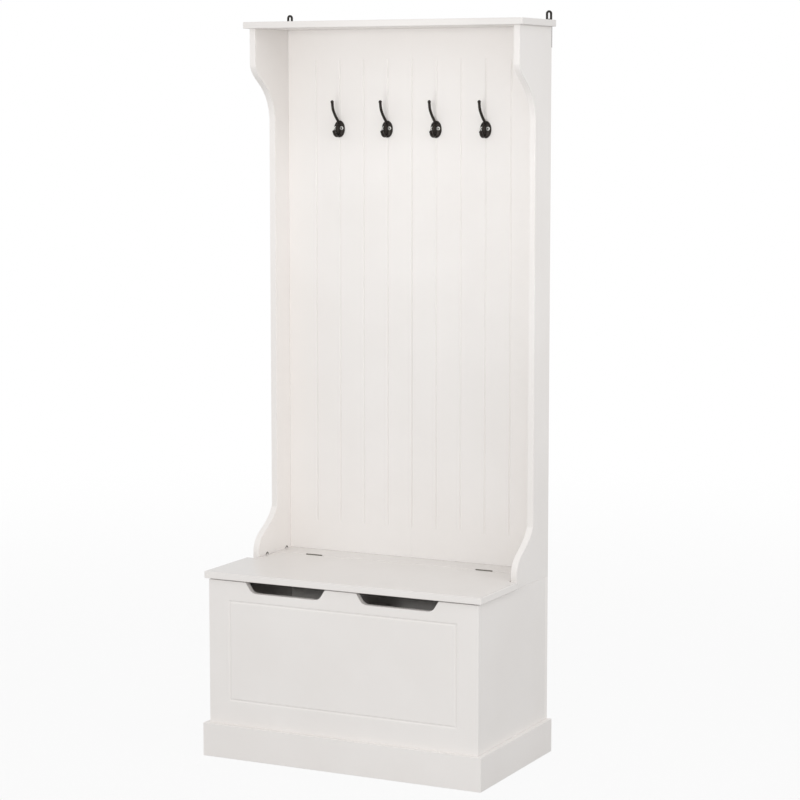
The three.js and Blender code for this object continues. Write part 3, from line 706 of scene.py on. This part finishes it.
def makeBackBoard(side):
    low, high = boxOf(f"back_board_{side}")
    edge = board["hiddenEdge"]
    rise = np.linspace(0, quarter, 4)
    half = hutch["grooveWidth"] / 2
    whole = boxOf("back_board_right")[1][0]
    count = int((whole - hutch["leastPlank"]) / hutch["plank"])
    grooves = hutch["plank"] * np.arange(-count, count + 1)
    lips = half * np.array(hutch["grooveShares"])
    x = (grooves[:, None] + lips).ravel()
    x = np.unique(x[(x > low[0] + edge) & (x < high[0] - edge)])
    x = np.concatenate([[low[0] + edge], x, [high[0] - edge]])

    # heights: the grooves run out in a quarter circle at both ends of the planked part
    grooveLow, grooveHigh = low[2] + hutch["plainBand"], high[2] - hutch["plainBand"]
    out = hutch["runOut"] * (1 - np.cos(np.linspace(0, quarter, 7)))
    over, inwards = edge * (1 - np.cos(rise)), edge * (1 - np.sin(rise))
    z = np.concatenate([low[2] + over, grooveLow + out, grooveHigh - out[::-1], high[2] - over[::-1]])
    inset = np.concatenate([inwards, 0 * out, 0 * out, inwards[::-1]])
    near = np.clip(np.minimum(z - grooveLow, grooveHigh - z) / hutch["runOut"], 0, 1)
    strength = np.sqrt(1 - (1 - near) ** 2)

    def vee(at):
        distance = np.abs(at[..., None] - grooves).min(axis=-1) / half
        return hutch["grooveDepth"] * np.clip(1 - distance, 0, 1) ** 0.9

    r = (edge - inset)[:, None]
    size = (len(z), len(x))

    def corner(cx, cy, start):
        return cx + r * np.cos(start + rise), cy + r * np.sin(start + rise)

    parts = [
        (np.broadcast_to(x, size), np.broadcast_to(low[1] + inset[:, None], size)),
        corner(high[0] - edge, low[1] + edge, -quarter),
        corner(high[0] - edge, high[1] - edge, 0),
        corner(low[0] + edge, high[1] - edge, quarter),
        corner(low[0] + edge, low[1] + edge, math.pi),
    ]
    px = np.concatenate([p[0] for p in parts], axis=1)
    py = np.concatenate([p[1] for p in parts], axis=1)
    front = py < (low[1] + high[1]) / 2
    py = py + np.where(front, vee(px) * strength[:, None], 0)
    rings = np.stack([px, py, np.broadcast_to(z[:, None], px.shape)], axis=-1)
    name = f"backBoard_{side}"
    addPiece(name, [f"back_board_{side}"], stitchRings(name, [rings]), satinPaint)


def makeHutch():
    makeSides()
    makeBackBoard("left")
    makeBackBoard("right")
    plainBoard("topBoard", "top_board", (0, 1), 2, seat["edge"], topShadedPaint)
    plainBoard("topRail", "top_rail")
    plainBoard("seamBatten", "seam_batten", (0, 1), 2)


makeHutch()
print("hutch made")


# coat hooks: an oval domed base with two screw seats, a body, a long upper prong and a short curled lower
# one. The prongs' points are (forward, up) in mm from the middle of the base
hook = {
    "rim": 2 * mm,
    "rimTaper": 0.995,
    "seatDepth": 4.4 * mm,
    "seatRadius": 4.5 * mm,
    "seatBlend": 0.7 * mm,
    "screwOffset": 7.5 * mm,
    "screwRise": 2 * mm,
    "baseHalf": (14 * mm, 20 * mm),
    "dome": 5.5 * mm,
    "prong": 3.3 * mm,
    "flare": 1.4 * mm,
    "flareFade": 2.6 * mm,
    "hub": (5.0 * mm, 13 * mm, 15.5 * mm),
    "shank": ((0, 1.7 * mm), (10.4 * mm, 1.7 * mm), (12.4 * mm, 0)),
    "headSpread": 1.1,
    "crown": 0.2,
    "slot": (0.8 * mm, 1.6 * mm, 0.25 * mm, 0.35, 0.45, 0.24),
    "upper": ((3, 8), (8, 18), (17, 26), (27, 36.5), (34.5, 48), (37.8, 63.5)),
    "lower": ((3, -6), (9, -14.5), (18, -16), (25.5, -12.5), (29.5, -6)),
    "upperBulb": 4.0 * mm,
    "lowerBulb": 3.7 * mm,
}


def smoothPath(points, perStep=24):
    # a Catmull-Rom curve through the points, as one array
    p = np.array(points, float) * mm
    p = np.concatenate([[2 * p[0] - p[1]], p, [2 * p[-1] - p[-2]]])
    t = np.linspace(0, 1, perStep, endpoint=False)[None, :, None]
    a, b, c, d = (p[i : len(p) - 3 + i, None] for i in range(4))
    curve = 0.5 * (2 * b + (c - a) * t + (2 * a - 5 * b + 4 * c - d) * t**2 + (3 * b - a - 3 * c + d) * t**3)
    return np.concatenate([curve.reshape(-1, 2), p[-2:-1]])


def prongRings(points, bulb, centre):
    # a circle carried along the path: it flares into the base, and ends in a ball at the last point
    curve = smoothPath(points)
    steps = np.linalg.norm(np.diff(curve, axis=0), axis=1)
    along = np.concatenate([[0], np.cumsum(steps)])
    total, thin = along[-1], hook["prong"]
    neck = math.sqrt(bulb**2 - thin**2)
    shaft = np.linspace(0, total - neck, 40)
    swing = np.linspace(math.acos(-neck / bulb), 0, 12)[1:]
    s = np.concatenate([shaft, total + bulb * np.cos(swing)])
    radius = np.concatenate([thin + hook["flare"] * np.exp(-shaft / hook["flareFade"]), bulb * np.sin(swing)])
    tangent = (curve[-1] - curve[-2]) / steps[-1]
    over = np.maximum(s - total, 0)[:, None]
    place = np.stack([np.interp(s, along, curve[:, k]) for k in (0, 1)], axis=1) + over * tangent
    heading = np.gradient(place, s, axis=0)
    heading /= np.linalg.norm(heading, axis=1, keepdims=True)
    angle = np.linspace(0, 2 * math.pi, 24, endpoint=False)
    side = radius[:, None] * np.cos(angle)
    lift = radius[:, None] * np.sin(angle)
    forward = place[:, :1] - lift * heading[:, 1:]
    up = place[:, 1:] + lift * heading[:, :1]
    return np.stack([centre[0] + side, centre[1] - forward, centre[2] + up], axis=-1)


def baseRings(centre):
    # a straight rim, then height = rim + dome * sqrt(1 - rho^2), sunk to a flat round each screw
    halfX, halfZ = hook["baseHalf"]
    angle = np.linspace(0, 2 * math.pi, 112, endpoint=False)
    rho = np.cos(np.linspace(0, quarter, 36))
    rho[-1] = 0
    x = rho[:, None] * halfX * np.cos(angle)
    z = rho[:, None] * halfZ * np.sin(angle)
    height = hook["rim"] + hook["dome"] * np.sqrt(1 - rho**2)[:, None] + 0 * x
    away = np.hypot(np.abs(x) - hook["screwOffset"], z - hook["screwRise"])
    sink = np.clip((hook["seatRadius"] - away) / hook["seatBlend"] + 0.5, 0, 1)
    sink = sink * sink * (3 - 2 * sink)
    height = height + sink * (np.minimum(height, hook["seatDepth"]) - height)
    foot = np.stack([x[0], 0 * x[0], z[0]], axis=-1)
    lowRim = foot + np.array([0, 0.8 * hook["rim"], 0])
    dome = np.stack([x * hook["rimTaper"], height, z * hook["rimTaper"]], axis=-1)
    rings = np.concatenate([[foot], [lowRim], dome])
    rings[..., 1] *= -1
    return rings + np.array(centre)


def driveHead(centre, direction, radius, tall, crown, slot, skirt):
    # a round head: height = tall * (1 - crown * rho^2), less a cross-shaped recess that gets shallower
    # outwards and has a round well. slot: the cross's half width, depth, softness of its walls and turn, and
    # the reach of the cross and of the well as shares of the head. The second array marks the recess
    slotHalf, slotDepth, slotSoft, slotTurn, slotReach, wellReach = slot
    direction = np.array(direction, float)
    first = np.array((0, 0, 1.0))
    second = np.cross(direction, first)
    angle = np.linspace(0, 2 * math.pi, 64, endpoint=False) + slotTurn
    rho = np.linspace(1, 0, 22)
    u = radius * rho[:, None] * np.cos(angle)
    v = radius * rho[:, None] * np.sin(angle)
    lean = np.minimum(np.abs(u), np.abs(v))
    arm = np.clip((slotHalf - lean) / slotSoft + 0.5, 0, 1)
    reach = np.clip(1.6 * (slotReach - rho), 0, 1)[:, None]
    well = np.clip(2.2 - rho / wellReach, 0, 1)[:, None]
    recess = np.maximum(arm * reach, well)
    height = tall * (1 - crown * rho**2)[:, None] - slotDepth * recess
    top = np.array(centre) + height[..., None] * direction + u[..., None] * first + v[..., None] * second
    base = np.array(centre) - skirt * direction + u[:1, :, None] * first + v[:1, :, None] * second
    return np.concatenate([base, top]), np.concatenate([0 * recess[:1], recess])


def hubRings(centre):
    # the body that both prongs spring from: height = hub height * (1 - rho^4)^(1/2) over an upright oval
    halfX, halfZ, tall = hook["hub"]
    angle = np.linspace(0, 2 * math.pi, 48, endpoint=False)
    rho = np.sin(np.linspace(quarter, 0, 20))
    x = rho[:, None] * halfX * np.cos(angle)
    z = rho[:, None] * halfZ * np.sin(angle)
    height = hook["rim"] + (tall * np.sqrt(1 - rho**4))[:, None] + 0 * x
    foot = np.stack([x[0], 0 * x[0] + hook["rim"] / 2, z[0]], axis=-1)
    rings = np.concatenate([[foot], np.stack([x, height, z], axis=-1)])
    rings[..., 1] *= -1
    return rings + np.array(centre)


def makeHooks():
    for number in range(1, 5):
        low, high = boxOf(f"coat_hook_{number}")
        middle = (low[0] + high[0]) / 2
        screwLow, screwHigh = boxOf(f"hook_screw_{number}_1")
        level = (screwLow[2] + screwHigh[2]) / 2 - hook["screwRise"]
        centre = (middle, high[1], level)
        shells = [
            baseRings(centre),
            hubRings(centre),
            prongRings(hook["upper"], hook["upperBulb"], centre),
            prongRings(hook["lower"], hook["lowerBulb"], centre),
        ]
        name = f"coatHook_{number}"
        addPiece(name, [f"coat_hook_{number}"], stitchRings(name, shells), hookIron, False)
        for end in (1, 2):
            low, high = boxOf(f"hook_screw_{number}_{end}")
            seatY = centre[1] - hook["seatDepth"]
            place = ((low[0] + high[0]) / 2, seatY, (low[2] + high[2]) / 2)
            radius = hook["headSpread"] * (high[0] - low[0]) / 2
            tall = seatY - low[1]
            head, recess = driveHead(place, (0, -1, 0), radius, tall, hook["crown"], hook["slot"], 0)
            shank = latheRings(hook["shank"], place, (0, 1, 0), 24)
            name = f"hookScrew_{number}_{end}"
            mesh = stitchRings(name, [head, shank], [recess, np.zeros(shank.shape[:2])])
            addPiece(name, [f"hook_screw_{number}_{end}"], mesh, brightSteel, False)


makeHooks()
print("hooks made")


# cam locks: a drum whose face stands a hair out of the hutch's side
cam = {"proud": 0.25 * mm, "crown": 0.2, "slot": (0.9 * mm, 2.2 * mm, 0.25 * mm, 0.35, 0.78, 0.2)}


def makeCams():
    for side, inwards in (("left", 1), ("right", -1)):
        for place in ("rear", "front"):
            low, high = boxOf(f"cam_lock_{side}_{place}")
            middle = (low + high) / 2
            radius = (high[2] - low[2]) / 2
            face = high[0] if inwards > 0 else low[0]
            centre = (face, middle[1], middle[2])
            depth, out = high[0] - low[0], (inwards, 0, 0)
            rings, recess = driveHead(centre, out, radius, cam["proud"], cam["crown"], cam["slot"], depth)
            name = f"camLock_{side}_{place}"
            mesh = stitchRings(name, [rings], [recess])
            addPiece(name, [f"cam_lock_{side}_{place}"], mesh, camZinc, False)


makeCams()
print("cams made")


# the small metal parts whose shape comes from the frame as it is, by the start of their names
finishOfNode = {
    "hinge_fixed_leaf": hingeSteel,
    "hinge_lid_leaf": hingeSteel,
    "hinge_pin": hingeSteel,
    "hinge_screw": brightSteel,
    "cam_bolt": brightSteel,
    "wall_bracket": bracketSteel,
    "bracket_screw": brightSteel,
}


def finishCarriedNodes():
    for name, node in frame["nodes"].items():
        for start, material in finishOfNode.items():
            if name.startswith(start):
                for slot in node.material_slots:
                    slot.material = material


finishCarriedNodes()
print("carried parts finished")


# stage: a pale floor that fades out between two distances, a white surround and soft lights.
# A light's spread is in degrees and its power in watts
stage = {
    "floor": (0.60, 0.60, 0.60, 1),
    "floorHalf": 14.0,
    "floorReach": (1.2, 5.0),
    "floorCover": 0.09,
    "surround": 0.81,
    "lights": {
        "front": {
            "place": (1.15, -4.9, 1.75), "aim": (0, 0.1, 0.95), "size": 0.7, "spread": 80, "power": 10.5,
        },
        "right": {
            "place": (3.0, -0.5, 1.9), "aim": (0.35, 0, 1.1), "size": 1.0, "spread": 60, "power": 2.0,
        },
        "rightBeam": {
            "place": (2.2, -3.0, 1.5), "aim": (-0.36, 0, 1.1), "size": 0.8, "spread": 18, "power": 0.10,
        },
        "leftBeam": {
            "place": (-1.0, -4.4, 1.4), "aim": (0.34, 0.17, 1.2), "size": 0.6, "spread": 10, "power": 0.05,
        },
        "low": {
            "place": (0.3, -2.6, 0.35), "aim": (0, 0.15, 1.66), "size": 0.7, "spread": 22, "power": 0.35,
        },
    },
}


def cameraRay(tree):
    # 1 where the eye looks straight at it, 0 in reflections and bounced light
    return addNode(tree, "ShaderNodeLightPath").outputs["Is Camera Ray"]


def makeFloor():
    half = stage["floorHalf"]
    corners = [(-half, -half, 0), (half, -half, 0), (half, half, 0), (-half, half, 0)]
    mesh = bpy.data.meshes.new("floor")
    mesh.from_pydata(corners, [], [(0, 1, 2, 3)])
    floor = bpy.data.objects.new("floor", mesh)
    bpy.context.scene.collection.objects.link(floor)
    material, tree, shader = newFinish("paleFloor", {"Roughness": 0.6, "Base Color": stage["floor"]})
    place = addNode(tree, "ShaderNodeTexCoord").outputs["Object"]
    reach = addNode(tree, "ShaderNodeVectorMath", {"operation": "LENGTH"}, {0: place}).outputs["Value"]
    shown = remap(tree, reach, *stage["floorReach"], stage["floorCover"], 0)
    # thin to the eye, whole to the light
    whole = maths(tree, "SUBTRACT", 1.0, cameraRay(tree))
    tree.links.new(maths(tree, "MAXIMUM", shown, whole), shader.inputs["Alpha"])
    mesh.materials.append(material)


def makeSurround():
    world = bpy.data.worlds.new("surround")
    bpy.context.scene.world = world
    world.use_nodes = True
    tree = world.node_tree
    back = tree.nodes["Background"]
    back.inputs["Color"].default_value = (1, 1, 1, 1)
    # plain white where it shows
    tree.links.new(remap(tree, cameraRay(tree), 0, 1, stage["surround"], 1), back.inputs["Strength"])


def makeLights():
    for name, given in stage["lights"].items():
        data = bpy.data.lights.new(name, "AREA")
        data.shape = "DISK"
        data.size = given["size"]
        data.energy = given["power"]
        data.spread = math.radians(given["spread"])
        light = bpy.data.objects.new(name, data)
        light.location = given["place"]
        x, y, z = np.array(given["aim"]) - np.array(given["place"])
        light.rotation_euler = (math.atan2(math.hypot(x, y), -z), 0, math.atan2(-x, y))
        bpy.context.scene.collection.objects.link(light)


makeFloor()
makeSurround()
makeLights()
bpy.context.scene.view_settings.view_transform = "Standard"
print("stage made")
